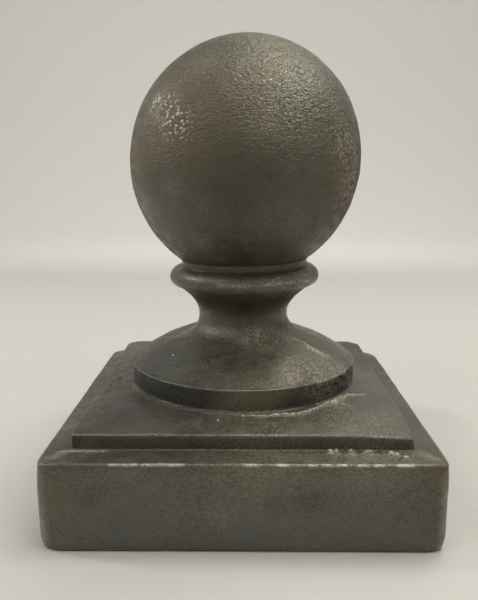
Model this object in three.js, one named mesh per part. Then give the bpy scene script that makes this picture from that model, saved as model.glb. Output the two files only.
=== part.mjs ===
// A cast-iron ball cap for a square post: a ball on a moulded neck over a stepped square base.
// Everything is in millimetres, with Z up and the origin at the middle of the bottom rim.

import * as THREE from "three";

// Square base that drops over the post
const baseWidth = 115.3;
const baseHeight = 26.8;
const baseCornerRadius = 2.2;
const baseTopRounding = 1;
const baseBottomRounding = 0.8;
const marginRise = 0.5; // the narrow shoulder slopes up to the plate by this much

// Socket under the base
const postWidth = 101.6;
const postClearance = 1.6;
const socketDepth = 20.5;
const socketCornerRadius = 2;
const mouthChamfer = 0.8;

// Square plate on the base
const plateWidth = 98.8;
const plateEdgeHeight = 4.7;
const plateRise = 2.4; // its top climbs from the square edge to the round disc
const plateCornerRadius = 1.2;

// Round disc and the cone that climbs from it to the neck
const discDiameter = 77.7;
const discEdgeHeight = 7.2;
const coneRise = 9.5;
const coneTopDiameter = 39.2;
const coneBulge = 0.8;

// Waisted neck and its half-round moulding
const waistDiameter = 30.9;
const waistRise = 6.1; // from the cone's top to the narrowest place
const throatRise = 10.6; // from there to the moulding's underside
const torusDiameter = 51.6;
const torusLowerHeight = 2.7;
const torusUpperHeight = 3.7;
const torusLipDepth = 2.7; // how far the lower edge stands in from the widest line
// Handles of the neck's curves, as shares of each curve's own width and height
const lipHandle = { inward: 0.32, down: 0.21 };
const waistHandle = 0.47;
const kneeHandle = { inward: 0.54, up: 0.17 };

// Low collar, and the ball that sits on it
const collarDiameter = 43.2;
const collarHeight = 2.2;
const ballDiameter = 76.7;
const ballHeight = 79.8; // as cast, a little taller than wide

// The casting is cored from below to this wall
const wall = 6.5;
const coreCornerRadius = 4;
const edgeRounding = 0.8; // where a tier's side meets its top or its foot

// Heights of the tiers above the bottom rim
const plateFoot = baseHeight + marginRise;
const plateTop = plateFoot + plateEdgeHeight;
const discFoot = plateTop + plateRise;
const discTop = discFoot + discEdgeHeight;
const coneTop = discTop + coneRise;
const waistLevel = coneTop + waistRise;
const torusFoot = waistLevel + throatRise;
const torusLevel = torusFoot + torusLowerHeight;
const collarFoot = torusLevel + torusUpperHeight;
const collarTop = collarFoot + collarHeight;

const ballRadius = ballDiameter / 2;
const collarRadius = collarDiameter / 2;
const collarAngle = Math.asin(collarRadius / ballRadius); // of the ball's foot, from straight down
const ballCentre = collarTop + (ballHeight / 2) * Math.cos(collarAngle);

// Columns of the surface round the axis: even steps, and two more beside each square corner
const evenSteps = 48;
const besideCorner = THREE.MathUtils.degToRad(1.2);

// Steps along each curve of the profile
const steps = { ball: 17, torusUpper: 5, torusLower: 4, throat: 7, knee: 5, cone: 4, rim: 3, rounding: 2 };

function columnAngles() {
  const angles = [];
  for (let i = 0; i < evenSteps; i++) {
    angles.push((i / evenSteps) * 2 * Math.PI);
  }
  for (let corner = 0; corner < 4; corner++) {
    const diagonal = Math.PI / 4 + (corner * Math.PI) / 2;
    angles.push(diagonal - besideCorner, diagonal + besideCorner);
  }
  return angles.sort((a, b) => a - b);
}

// Distance from the axis to the side of a rounded square, along the ray at this angle.
// With a corner radius as large as the half width, the square is a circle.
function reach(angle, halfWidth, cornerRadius) {
  const fromDiagonal = Math.abs((angle % (Math.PI / 2)) - Math.PI / 4);
  const fromSide = Math.PI / 4 - fromDiagonal;
  const flatEnd = halfWidth - cornerRadius;
  if (halfWidth * Math.tan(fromSide) <= flatEnd) {
    return halfWidth / Math.cos(fromSide);
  }
  const arcCentre = flatEnd * Math.SQRT2;
  const sideways = arcCentre * Math.sin(fromDiagonal);
  return arcCentre * Math.cos(fromDiagonal) + Math.sqrt(cornerRadius ** 2 - sideways ** 2);
}

// Skins a closed profile that starts and ends on the axis. Each level is one ring of the skin,
// a circle or a rounded square.
function skin(levels) {
  const angles = columnAngles();
  const columns = angles.length;
  const positions = [0, 0, levels[0].z];
  for (const { half, z, corner } of levels.slice(1, -1)) {
    for (const angle of angles) {
      const r = reach(angle, half, corner);
      positions.push(r * Math.cos(angle), r * Math.sin(angle), z);
    }
  }
  positions.push(0, 0, levels.at(-1).z);

  const rings = levels.length - 2;
  const lastVertex = rings * columns + 1;
  const at = (ring, column) => 1 + ring * columns + (column % columns);
  const faces = [];
  for (let i = 0; i < columns; i++) {
    faces.push(0, at(0, i), at(0, i + 1));
    for (let ring = 0; ring < rings - 1; ring++) {
      faces.push(at(ring, i), at(ring + 1, i), at(ring + 1, i + 1));
      faces.push(at(ring, i), at(ring + 1, i + 1), at(ring, i + 1));
    }
    faces.push(at(rings - 1, i), lastVertex, at(rings - 1, i + 1));
  }

  const geometry = new THREE.BufferGeometry();
  geometry.setAttribute("position", new THREE.Float32BufferAttribute(positions, 3));
  geometry.setIndex(faces);
  geometry.computeVertexNormals();
  return geometry;
}

// Turned levels: every ring is a circle. Points hold the radius as x and the height as y.
function turned(points) {
  return points.map(({ x, y }) => ({ half: x, z: y, corner: x }));
}

// Square levels: every ring is a square with the same small corner radius.
function squared(points, corner) {
  return points.map(({ x, y }) => ({ half: x, z: y, corner }));
}

// A quarter round between a top face and a side, from the top outwards and down.
function shoulder(half, z, radius, divisions) {
  const arc = new THREE.EllipseCurve(half - radius, z - radius, radius, radius, Math.PI / 2, 0, true);
  return arc.getPoints(divisions);
}

// A quarter hollow between a side and the face below it, down and outwards.
function foot(half, z, radius, divisions) {
  const arc = new THREE.EllipseCurve(
    half + radius, z + radius, radius, radius, Math.PI, 1.5 * Math.PI, false,
  );
  return arc.getPoints(divisions);
}

function ballLevels() {
  const arc = new THREE.EllipseCurve(
    0, ballCentre, ballRadius, ballHeight / 2, Math.PI / 2, collarAngle - Math.PI / 2, true,
  );
  return turned(arc.getPoints(steps.ball));
}

function neckLevels() {
  const torusRadius = torusDiameter / 2;
  const upper = new THREE.EllipseCurve(
    collarRadius, torusLevel, torusRadius - collarRadius, torusUpperHeight, Math.PI / 2, 0, true,
  );
  const lower = new THREE.EllipseCurve(
    torusRadius - torusLipDepth, torusLevel, torusLipDepth, torusLowerHeight, 0, -Math.PI / 2, true,
  );

  const waist = new THREE.Vector2(waistDiameter / 2, waistLevel);
  const lip = new THREE.Vector2(torusRadius - torusLipDepth, torusFoot);
  const throat = new THREE.CubicBezierCurve(
    lip,
    new THREE.Vector2(
      lip.x - lipHandle.inward * (lip.x - waist.x),
      lip.y - lipHandle.down * throatRise,
    ),
    new THREE.Vector2(waist.x, waist.y + waistHandle * throatRise),
    waist,
  );

  const coneHead = new THREE.Vector2(coneTopDiameter / 2, coneTop);
  const knee = new THREE.CubicBezierCurve(
    waist,
    new THREE.Vector2(waist.x, waist.y - waistHandle * waistRise),
    new THREE.Vector2(
      coneHead.x - kneeHandle.inward * (coneHead.x - waist.x),
      coneTop + kneeHandle.up * waistRise,
    ),
    coneHead,
  );

  return turned([
    ...upper.getPoints(steps.torusUpper),
    ...lower.getPoints(steps.torusLower).slice(1),
    ...throat.getPoints(steps.throat).slice(1),
    ...knee.getPoints(steps.knee).slice(1),
  ]);
}

function discLevels() {
  const radius = discDiameter / 2;
  const head = new THREE.Vector2(coneTopDiameter / 2, coneTop);
  const rim = shoulder(radius, discTop, edgeRounding, steps.rim);
  const middle = head.clone().add(rim[0]).multiplyScalar(0.5);
  const outward = new THREE.Vector2(coneRise, radius - head.x).normalize();
  const cone = new THREE.QuadraticBezierCurve(
    head,
    middle.addScaledVector(outward, 2 * coneBulge),
    rim[0],
  );
  return turned([
    ...cone.getPoints(steps.cone).slice(1, -1),
    ...rim,
    ...foot(radius, discFoot, edgeRounding, steps.rounding),
  ]);
}

function baseLevels() {
  const plateHalf = plateWidth / 2;
  const baseHalf = baseWidth / 2;
  const plate = [
    ...shoulder(plateHalf, plateTop, edgeRounding, steps.rounding),
    ...foot(plateHalf, plateFoot, edgeRounding, steps.rounding),
  ];
  const bottom = new THREE.EllipseCurve(
    baseHalf - baseBottomRounding, baseBottomRounding,
    baseBottomRounding, baseBottomRounding, 0, -Math.PI / 2, true,
  );
  const base = [
    ...shoulder(baseHalf, baseHeight, baseTopRounding, steps.rounding),
    ...bottom.getPoints(steps.rounding),
  ];
  return [...squared(plate, plateCornerRadius), ...squared(base, baseCornerRadius)];
}

// The socket, the flat seat at its head for the end of the post, and the hollow above it, which follows
// the plate, the disc and the cone from inside.
function hollowLevels() {
  const socketHalf = (postWidth + postClearance) / 2;
  const socket = [
    new THREE.Vector2(socketHalf + mouthChamfer, 0),
    new THREE.Vector2(socketHalf, mouthChamfer),
    new THREE.Vector2(socketHalf, socketDepth),
  ];
  const plateCoreHalf = plateWidth / 2 - wall;
  const plateCore = [
    new THREE.Vector2(plateCoreHalf, socketDepth),
    new THREE.Vector2(plateCoreHalf, plateTop - wall),
  ];
  const discCoreRadius = discDiameter / 2 - wall;
  const discCore = [
    new THREE.Vector2(discCoreRadius, discFoot - wall),
    new THREE.Vector2(discCoreRadius, discTop - wall),
    new THREE.Vector2(coneTopDiameter / 2 - wall, coneTop - wall),
    new THREE.Vector2(0, coneTop - wall),
  ];
  return [
    ...squared(socket, socketCornerRadius),
    ...squared(plateCore, coreCornerRadius),
    ...turned(discCore),
  ];
}

const castIron = new THREE.MeshStandardMaterial({ color: 0x4b4a42, roughness: 0.6, metalness: 0.5 });

const casting = new THREE.Mesh(
  skin([...ballLevels(), ...neckLevels(), ...discLevels(), ...baseLevels(), ...hollowLevels()]),
  castIron,
);
casting.name = "ball_post_cap";

const cap = new THREE.Group();
cap.add(casting);

export default cap;
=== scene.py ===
import math

import bpy
import numpy as np
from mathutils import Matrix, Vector, noise


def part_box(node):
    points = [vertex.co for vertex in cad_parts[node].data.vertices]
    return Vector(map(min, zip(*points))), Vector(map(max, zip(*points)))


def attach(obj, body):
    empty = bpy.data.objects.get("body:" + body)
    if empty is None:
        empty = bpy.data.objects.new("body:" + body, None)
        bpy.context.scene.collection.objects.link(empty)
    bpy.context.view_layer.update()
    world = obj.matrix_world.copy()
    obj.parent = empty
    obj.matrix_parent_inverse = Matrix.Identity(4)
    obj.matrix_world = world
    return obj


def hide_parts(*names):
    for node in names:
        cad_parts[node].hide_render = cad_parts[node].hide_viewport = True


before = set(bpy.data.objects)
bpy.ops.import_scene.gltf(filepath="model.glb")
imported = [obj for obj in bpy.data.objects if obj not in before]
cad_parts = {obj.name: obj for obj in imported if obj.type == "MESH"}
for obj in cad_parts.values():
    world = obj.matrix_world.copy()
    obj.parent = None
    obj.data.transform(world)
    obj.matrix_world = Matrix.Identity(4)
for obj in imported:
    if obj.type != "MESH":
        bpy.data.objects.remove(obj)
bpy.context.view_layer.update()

mm = 0.001
capLow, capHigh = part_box("ball_post_cap")
print("frame loaded, cap size in mm:", [round((b - a) / mm, 1) for a, b in zip(capLow, capHigh)])


# Half sections of the cap, in metres from its axis and above its rim

casting = {
    "baseHalf": (capHigh.x - capLow.x) / 2,
    "baseHeight": 26.8 * mm,
    "baseCorner": 2.2 * mm,
    "baseTopRounding": 1.0 * mm,
    "baseBottomRounding": 0.8 * mm,
    "plateHalf": 49.4 * mm,
    "plateFoot": 27.3 * mm,
    "plateTop": 32.0 * mm,
    "plateCorner": 1.2 * mm,
    "discRadius": 38.85 * mm,
    "discFoot": 34.4 * mm,
    "discTop": 41.6 * mm,
    "coneRadius": 19.6 * mm,
    "coneTop": 51.1 * mm,
    "coneBulge": 0.8 * mm,
    "waistRadius": 15.45 * mm,
    "waistLevel": 57.2 * mm,
    "torusRadius": 25.8 * mm,
    "torusFoot": 67.8 * mm,
    "torusLevel": 70.5 * mm,
    "torusLip": 2.7 * mm,
    "collarRadius": 21.6 * mm,
    "collarFoot": 74.2 * mm,
    "collarTop": 76.4 * mm,
    "ballRadius": 38.35 * mm,
    "ballHeight": 79.8 * mm,
    "ballTop": capHigh.z,
    "discRounding": 0.4 * mm,
    "plateRounding": 0.65 * mm,
    "footHollow": 0.9 * mm,  # the small hollow round where a side meets the face below it
    "socketHalf": 51.6 * mm,
    "socketDepth": 20.5 * mm,
    "socketCorner": 2.0 * mm,
    "mouthChamfer": 0.8 * mm,
    "wall": 6.5 * mm,
    "coreCorner": 4.0 * mm,
    "innerFinish": 54 * mm,  # the rim carries the inside's finish from here inwards
    "columns": 256,  # steps of the spin, a multiple of 8 so that the corners fall on a column
    "cornerGather": 0.6,  # how far the columns of a square ring gather at its corners
    "collarTaper": 0.2 * mm,
    "ballTuck": 3,  # degrees of the ball's lowest, finely ringed stretch
    "throatPull": (0.32, 0.21),  # handles of the waist's curves, as shares of their width and height
    "waistPull": 0.47,
    "kneePull": (0.54, 0.17),
    "curveSteps": 120,
    "sameRing": 0.02 * mm,
}

ringGaps = {
    # from ring to ring along each run of the section, in millimetres
    "ball": 1.05, "ballTuck": 0.4, "collar": 0.35, "lip": 0.45, "throat": 0.7,
    "knee": 0.6, "cone": 0.72, "discEdge": 0.16, "discSide": 0.5, "foot": 0.3,
    "plateTop": 0.55, "plateEdge": 0.24, "plateSide": 0.45, "shoulder": 0.6,
    "baseEdge": 0.26, "baseSide": 1.05, "baseBottom": 0.3, "rim": 1.2,
    "mouth": 0.6, "socket": 5, "seat": 4, "plateCore": 3, "discCore": 4,
    "coneCore": 5,
}

# how rubbed the crests are, how much painted shade darkens the ball's tuck, the collar, the throat, the
# torus's underside and the plate's foot hollow, how much darker the disc and plate sides are, and how much
# dust the base's sides hold, from 0 to 1
crestWear = {"lip": 0.4, "disc": 1.0, "plate": 0.6, "base": 1.0, "rim": 0.3}
sideShadeAndGrime = {"tuck": 0.5, "collar": 0.2, "throat": 0.9, "lip": 0.55, "disc": 0.95, "plate": 0.5,
             "plateFoot": 0.95}
baseDust = 0.15


def gapOf(run):
    return ringGaps[run] * mm


def arc(centre, radii, start, end, gap):
    angles = np.radians(np.linspace(start, end, casting["curveSteps"]))
    x = centre[0] + radii[0] * np.cos(angles)
    y = centre[1] + radii[1] * np.sin(angles)
    return evenly(np.column_stack([x, y]), gap)


def bezier(start, startHandle, endHandle, end, gap):
    t = np.linspace(0, 1, casting["curveSteps"])[:, None]
    a, b, c, d = (np.array(p) for p in (start, startHandle, endHandle, end))
    line = (1 - t) ** 3 * a + 3 * (1 - t) ** 2 * t * b + 3 * (1 - t) * t ** 2 * c + t ** 3 * d
    return evenly(line, gap)


def straight(start, end, gap):
    return evenly([start, end], gap)


def evenly(points, gap):
    points = np.asarray(points, float)
    along = np.concatenate([[0], np.cumsum(np.hypot(*np.diff(points, axis=0).T))])
    stops = np.linspace(0, along[-1], max(1, round(along[-1] / gap)) + 1)
    return np.column_stack([np.interp(stops, along, points[:, i]) for i in (0, 1)])


def onCrest(rings, wear):
    for i, ring in enumerate(rings):
        ring["edge"] = wear * math.sin(math.pi * i / (len(rings) - 1)) ** 2
    return rings


def makeRing(height, circle, half, corner, square, shadeAndGrime=0.0, dustAndGlint=0.0):
    # a ring is circular where square is 0 and a rounded square of half width half where it is 1
    return dict(height=height, circle=circle, half=half, corner=corner, square=square, edge=0.0,
                shadeAndGrime=shadeAndGrime, dustAndGlint=dustAndGlint)


def roundRings(points, shadeAndGrime=0.0):
    return [makeRing(z, r, r, r, 0.0, shadeAndGrime) for r, z in points]


def squareRings(points, corner, shadeAndGrime=0.0, dustAndGlint=0.0):
    return [makeRing(z, r, r, corner, 1.0, shadeAndGrime, dustAndGlint) for r, z in points]


def roundToSquare(circle, half, corner, lowZ, highZ, gap):
    # rings of a face that climbs from a square edge to a circle, straight along every ray
    steps = max(2, round((half - circle) / gap))
    rings = []
    for step in range(1, steps):
        t = step / steps
        rings.append(makeRing(highZ + (lowZ - highZ) * t, circle, half, corner, t))
    return rings


def ballRings(c):
    upright = c["ballHeight"] / 2
    centre = (0, c["ballTop"] - upright)
    foot = math.degrees(math.asin(c["collarRadius"] / c["ballRadius"]))
    tuckFrom = foot - 90 + c["ballTuck"]
    main = arc(centre, (c["ballRadius"], upright), 90, tuckFrom, gapOf("ball"))
    tuck = arc(centre, (c["ballRadius"], upright), tuckFrom, foot - 90, gapOf("ballTuck"))
    # the ball's lowest stretch, over the collar, gets painted shade
    return roundRings(main) + roundRings(tuck, sideShadeAndGrime["tuck"])


def neckRings(c):
    lipR = c["torusRadius"] - c["torusLip"]
    collarR = c["collarRadius"] - c["collarTaper"]
    collar = straight((c["collarRadius"], c["collarTop"]), (collarR, c["collarFoot"]), gapOf("collar"))
    upper = arc((collarR, c["torusLevel"]), (c["torusRadius"] - collarR, c["collarFoot"] - c["torusLevel"]),
                90, 0, gapOf("lip"))
    lower = arc((lipR, c["torusLevel"]), (c["torusLip"], c["torusLevel"] - c["torusFoot"]),
                0, -90, gapOf("lip"))
    throatRise = c["torusFoot"] - c["waistLevel"]
    throatIn, throatDown = c["throatPull"]
    throat = bezier((lipR, c["torusFoot"]),
                    (lipR - throatIn * (lipR - c["waistRadius"]), c["torusFoot"] - throatDown * throatRise),
                    (c["waistRadius"], c["waistLevel"] + c["waistPull"] * throatRise),
                    (c["waistRadius"], c["waistLevel"]), gapOf("throat"))
    waistRise = c["waistLevel"] - c["coneTop"]
    kneeIn, kneeUp = c["kneePull"]
    knee = bezier((c["waistRadius"], c["waistLevel"]),
                  (c["waistRadius"], c["waistLevel"] - c["waistPull"] * waistRise),
                  (c["coneRadius"] - kneeIn * (c["coneRadius"] - c["waistRadius"]),
                   c["coneTop"] + kneeUp * waistRise),
                  (c["coneRadius"], c["coneTop"]), gapOf("knee"))
    neck = roundRings(throat)
    # painted shade in the throat under the torus, darkest a little above its middle
    for i, ring in enumerate(neck):
        share = math.sin(math.pi * min(1, 1.25 * i / (len(neck) - 1))) ** 0.7
        ring["shadeAndGrime"] = sideShadeAndGrime["throat"] * share
    lip = onCrest(roundRings(lower), crestWear["lip"])
    # painted shade on the lower half of the torus's underside, which faces down, darkest at its foot
    for i, ring in enumerate(lip):
        ring["shadeAndGrime"] = sideShadeAndGrime["lip"] * max(0, 2 * i / (len(lip) - 1) - 1) ** 0.5
    # the collar under the ball gets a little painted shade
    return roundRings(collar, sideShadeAndGrime["collar"]) + roundRings(upper) + lip + neck + roundRings(knee)


def discRings(c):
    r, rounding, hollow = c["discRadius"], c["discRounding"], c["footHollow"]
    head = np.array([c["coneRadius"], c["coneTop"]])
    rim = np.array([r - rounding, c["discTop"]])
    outward = np.array([c["coneTop"] - c["discTop"], r - c["coneRadius"]])
    middle = (head + rim) / 2 + 4 / 3 * c["coneBulge"] * outward / np.hypot(*outward)
    cone = bezier(head, middle, middle, rim, gapOf("cone"))
    edge = arc((r - rounding, c["discTop"] - rounding), (rounding, rounding), 90, 0, gapOf("discEdge"))
    side = straight((r, c["discTop"] - rounding), (r, c["discFoot"] + hollow), gapOf("discSide"))
    foot = arc((r + hollow, c["discFoot"] + hollow), (hollow, hollow), 180, 270, gapOf("foot"))
    return (roundRings(cone[:-1]) + onCrest(roundRings(edge), crestWear["disc"])
            + roundRings(side, sideShadeAndGrime["disc"]) + roundRings(foot))


def plateRings(c):
    half, rounding, hollow = c["plateHalf"], c["plateRounding"], c["footHollow"]
    top = roundToSquare(c["discRadius"] + hollow, half - rounding, c["plateCorner"], c["plateTop"],
                        c["discFoot"], gapOf("plateTop"))
    edge = arc((half - rounding, c["plateTop"] - rounding), (rounding, rounding), 90, 0,
               gapOf("plateEdge"))
    side = straight((half, c["plateTop"] - rounding), (half, c["plateFoot"] + hollow), gapOf("plateSide"))
    foot = arc((half + hollow, c["plateFoot"] + hollow), (hollow, hollow), 180, 270, gapOf("foot"))
    corner = c["plateCorner"]
    # the first rings of the hollow at the foot of the plate's side get painted shade
    return (top + onCrest(squareRings(edge, corner), crestWear["plate"])
            + squareRings(side, corner, sideShadeAndGrime["plate"])
            + squareRings(foot[:3], corner, sideShadeAndGrime["plateFoot"]) + squareRings(foot[3:], corner))


def baseRings(c):
    half, high, low = c["baseHalf"], c["baseTopRounding"], c["baseBottomRounding"]
    shoulder = straight((c["plateHalf"] + c["footHollow"], c["plateFoot"]), (half - high, c["baseHeight"]),
                        gapOf("shoulder"))
    edge = arc((half - high, c["baseHeight"] - high), (high, high), 90, 0, gapOf("baseEdge"))
    side = straight((half, c["baseHeight"] - high), (half, low), gapOf("baseSide"))
    bottom = arc((half - low, low), (low, low), 0, -90, gapOf("baseBottom"))
    rim = straight((half - low, 0), (c["socketHalf"] + c["mouthChamfer"], 0), gapOf("rim"))
    corner = c["baseCorner"]
    return (squareRings(shoulder[1:-1], corner) + onCrest(squareRings(edge, corner), crestWear["base"])
            + squareRings(side, corner, dustAndGlint=baseDust)
            + onCrest(squareRings(bottom, corner), crestWear["rim"]) + squareRings(rim, corner))


def hollowRings(c):
    # the socket, the seat for the post's end, and the cored hollow that follows the outside
    half, depth, wall = c["socketHalf"], c["socketDepth"], c["wall"]
    mouth = straight((half + c["mouthChamfer"], 0), (half, c["mouthChamfer"]), gapOf("mouth"))
    walls = straight((half, c["mouthChamfer"]), (half, depth), gapOf("socket"))
    coreHalf, coreTop = c["plateHalf"] - wall, c["plateTop"] - wall
    seat = straight((half, depth), (coreHalf, depth), gapOf("seat"))
    plateCore = straight((coreHalf, depth), (coreHalf, coreTop), gapOf("plateCore"))
    discCore = c["discRadius"] - wall
    ceiling = roundToSquare(discCore, coreHalf, c["coreCorner"], coreTop, c["discFoot"] - wall,
                            gapOf("discCore"))
    drum = straight((discCore, c["discFoot"] - wall), (discCore, c["discTop"] - wall), gapOf("discCore"))
    domeTop = (c["coneRadius"] - wall, c["coneTop"] - wall)
    dome = straight((discCore, c["discTop"] - wall), domeTop, gapOf("coneCore"))
    crown = straight(domeTop, (0, c["coneTop"] - wall), gapOf("coneCore"))
    return (squareRings(mouth, c["socketCorner"]) + squareRings(walls, c["socketCorner"])
            + squareRings(seat, c["socketCorner"]) + squareRings(plateCore, c["coreCorner"])
            + ceiling[::-1] + roundRings(drum) + roundRings(dome) + roundRings(crown))


def nominalRadius(ring):
    return ring["circle"] * (1 - ring["square"]) + ring["half"] * ring["square"]


def capRings(c):
    rings = ballRings(c) + neckRings(c) + discRings(c) + plateRings(c) + baseRings(c) + hollowRings(c)
    kept = [rings[0]]
    for ring in rings[1:]:
        step = (nominalRadius(ring) - nominalRadius(kept[-1]), ring["height"] - kept[-1]["height"])
        if math.hypot(*step) > c["sameRing"]:
            kept.append(ring)
        else:
            kept[-1]["edge"] = max(kept[-1]["edge"], ring["edge"])
    return kept


# Drawing the half section and spinning it

def editAll():
    bpy.ops.object.mode_set(mode="EDIT")
    bpy.ops.mesh.select_all(action="SELECT")


def leaveEditing():
    bpy.ops.object.mode_set(mode="OBJECT")


def drawSection(rings, name):
    bpy.ops.object.select_all(action="DESELECT")
    bpy.ops.mesh.primitive_plane_add(size=1 * mm)
    piece = bpy.context.object
    piece.name = piece.data.name = name
    editAll()
    bpy.ops.mesh.merge(type="CENTER")
    bpy.ops.transform.translate(value=(nominalRadius(rings[0]), 0, rings[0]["height"]))
    for last, ring in zip(rings, rings[1:]):
        step = (nominalRadius(ring) - nominalRadius(last), 0, ring["height"] - last["height"])
        bpy.ops.mesh.extrude_vertices_move(TRANSFORM_OT_translate={"value": step})
    leaveEditing()
    # extruding doesn't number the points in the order of the line, so each is matched to its ring by place
    stops = np.array([(nominalRadius(ring), ring["height"]) for ring in rings])
    numbers = [np.argmin(np.hypot(*(stops - place).T)) for place in readPlaces(piece)[:, (0, 2)]]
    layer = piece.data.attributes.new("ring", "INT", "POINT")
    layer.data.foreach_set("value", np.array(numbers, np.int32))
    return piece


def spinSection(columns):
    editAll()
    bpy.ops.mesh.spin(steps=columns, angle=2 * math.pi, center=(0, 0, 0), axis=(0, 0, 1))
    bpy.ops.mesh.select_all(action="SELECT")
    bpy.ops.mesh.remove_doubles(threshold=0.005 * mm)
    bpy.ops.mesh.normals_make_consistent(inside=False)
    leaveEditing()


def readValues(collection, key, kind=np.float32, width=1):
    values = np.empty(len(collection) * width, kind)
    collection.foreach_get(key, values)
    return values.reshape(-1, width) if width > 1 else values


def readPlaces(piece):
    return readValues(piece.data.vertices, "co", width=3).astype(float)


def writePlaces(piece, places):
    piece.data.vertices.foreach_set("co", places.astype(np.float32).ravel())
    piece.data.update()


def readNormals(piece):
    return readValues(piece.data.vertex_normals, "vector", width=3).astype(float)


def readLayer(piece, name):
    return readValues(piece.data.attributes[name].data, "value").astype(float)


def ringNumbers(piece):
    return readValues(piece.data.attributes["ring"].data, "value", np.int32)


def roundedSquareReach(angle, half, corner):
    fromDiagonal = np.abs(np.mod(angle, math.pi / 2) - math.pi / 4)
    fromSide = math.pi / 4 - fromDiagonal
    flatEnd = half - corner
    flat = half / np.cos(fromSide)
    arcCentre = flatEnd * math.sqrt(2)
    sideways = arcCentre * np.sin(fromDiagonal)
    turned = arcCentre * np.cos(fromDiagonal) + np.sqrt(np.maximum(corner ** 2 - sideways ** 2, 0))
    return np.where(half * np.tan(fromSide) <= flatEnd, flat, turned)


def squareOff(piece, rings, gather):
    # pulls the rings of the plate, the base and the socket out from circles to rounded squares
    places = readPlaces(piece)
    number = ringNumbers(piece)
    square, circle, half, corner, height = (np.array([ring[key] for ring in rings])[number]
                                            for key in ("square", "circle", "half", "corner", "height"))
    angle = np.arctan2(places[:, 1], places[:, 0])
    angle = angle + square * gather / 4 * np.sin(4 * angle)
    reach = (1 - square) * circle + square * roundedSquareReach(angle, half, corner)
    onAxis = np.hypot(places[:, 0], places[:, 1]) < 0.01 * mm
    reach[onAxis] = 0
    writePlaces(piece, np.column_stack([reach * np.cos(angle), reach * np.sin(angle), height]))


def smoothStep(low, high, value):
    t = np.clip((value - low) / (high - low), 0, 1)
    return t * t * (3 - 2 * t)


def ringValues(piece, rings, key):
    return np.array([ring[key] for ring in rings])[ringNumbers(piece)]


edgeZones = {
    "uprightWear": 0.7,
    "uprightReach": (0.6, 1.6),  # degrees to either side of a corner
    "discRim": (40 * mm, 42.2 * mm),
    "rimRightFades": (13 * mm, 24 * mm),
    "rimLeftFades": (-31 * mm, -35 * mm),
    "plateLeft": (-45 * mm, -49 * mm),
    "plateFront": -47 * mm,
    "faded": 0.8,
}


def edgeWeights(piece, rings, zones):
    x, y, z = readPlaces(piece).T
    soft = ringValues(piece, rings, "edge")
    onSquare = ringValues(piece, rings, "square") == 1
    fromDiagonal = np.degrees(np.abs(np.mod(np.arctan2(y, x), math.pi / 2) - math.pi / 4))
    upright = zones["uprightWear"] * (1 - smoothStep(*zones["uprightReach"], fromDiagonal))
    upright *= onSquare * (z < casting["plateFoot"])
    onRim = (z > zones["discRim"][0]) & (z < zones["discRim"][1])
    rimEnds = np.maximum(smoothStep(*zones["rimRightFades"], x), smoothStep(*zones["rimLeftFades"], x))
    plateLeft = smoothStep(*zones["plateLeft"], x) * (z > casting["plateFoot"]) * (y > zones["plateFront"])
    kept = (1 - zones["faded"] * plateLeft) * (1 - zones["faded"] * rimEnds * onRim)
    return np.maximum(soft, upright) * kept


def paint(piece, name, weights):
    layer = piece.data.attributes.new(name, "FLOAT", "POINT")
    layer.data.foreach_set("value", np.clip(weights, 0, 1).astype(np.float32))


rings = capRings(casting)
cap = drawSection(rings, "castIronCap")
spinSection(casting["columns"])
squareOff(cap, rings, casting["cornerGather"])
firstHollow = next(i for i, ring in enumerate(rings)
                   if ring["height"] == 0 and nominalRadius(ring) < casting["innerFinish"])
paint(cap, "hollow", ringNumbers(cap) >= firstHollow)
paint(cap, "crest", edgeWeights(cap, rings, edgeZones))
# painted shade in the hollows under the ball and the torus, in the throat and at the plate's foot, and the
# darker disc and plate sides
paint(cap, "shadeAndGrime", ringValues(cap, rings, "shadeAndGrime"))
paint(cap, "dustAndGlint", ringValues(cap, rings, "dustAndGlint"))
print("section of", len(rings), "points spun to", len(cap.data.polygons), "faces")


# Finer faces where the small marks of the front sit

fineAreas = [
    # low corner, high corner, both in millimetres, and cuts
    ((18, -58, 26.2), (54, -48.8, 28.4), 3),
    ((-55, -58, 26.2), (18, -48.8, 28.4), 1),
    ((-20, -42.6, 33), (42, -12, 36), 1),
    ((-55, -40, 27), (-42, 8, 34.5), 1),
    ((23, -34, 35), (40, -6, 42.5), 1),
]


def cutFiner(piece, low, high, cuts):
    bpy.ops.object.select_all(action="DESELECT")
    piece.select_set(True)
    bpy.context.view_layer.objects.active = piece
    bpy.ops.object.mode_set(mode="EDIT")
    bpy.ops.mesh.select_mode(type="FACE")
    bpy.ops.mesh.select_all(action="DESELECT")
    leaveEditing()
    centres = readValues(piece.data.polygons, "center", width=3)
    chosen = np.all((centres > np.array(low) * mm) & (centres < np.array(high) * mm), axis=1)
    piece.data.polygons.foreach_set("select", chosen)
    bpy.ops.object.mode_set(mode="EDIT")
    bpy.ops.mesh.subdivide(number_cuts=cuts)
    leaveEditing()


for low, high, cuts in fineAreas:
    cutFiner(cap, low, high, cuts)
print("finer faces cut, now", len(cap.data.polygons))


# How the mould left it: the ball leans a little, the collar is tilted, and one corner of the plate sags

drift = {
    "ballLean": 0.0212,  # sideways for each unit above the ball's foot
    "collarTilt": 0.0134,
    "collarFrom": 60 * mm,
    "collarTo": 84 * mm,
    "sagDepth": 0.8 * mm,
    "sagFrom": 28 * mm,
    "sagFront": (-34 * mm, -46 * mm),
    "backLift": 1.1 * mm,
    "liftRun": (5 * mm, 44 * mm),
    "collarShift": 0.4 * mm,
    "rimLift": 0.3 * mm,
    "rimBand": 6 * mm,
    "rimFront": (-50 * mm, -56 * mm),
}


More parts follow.
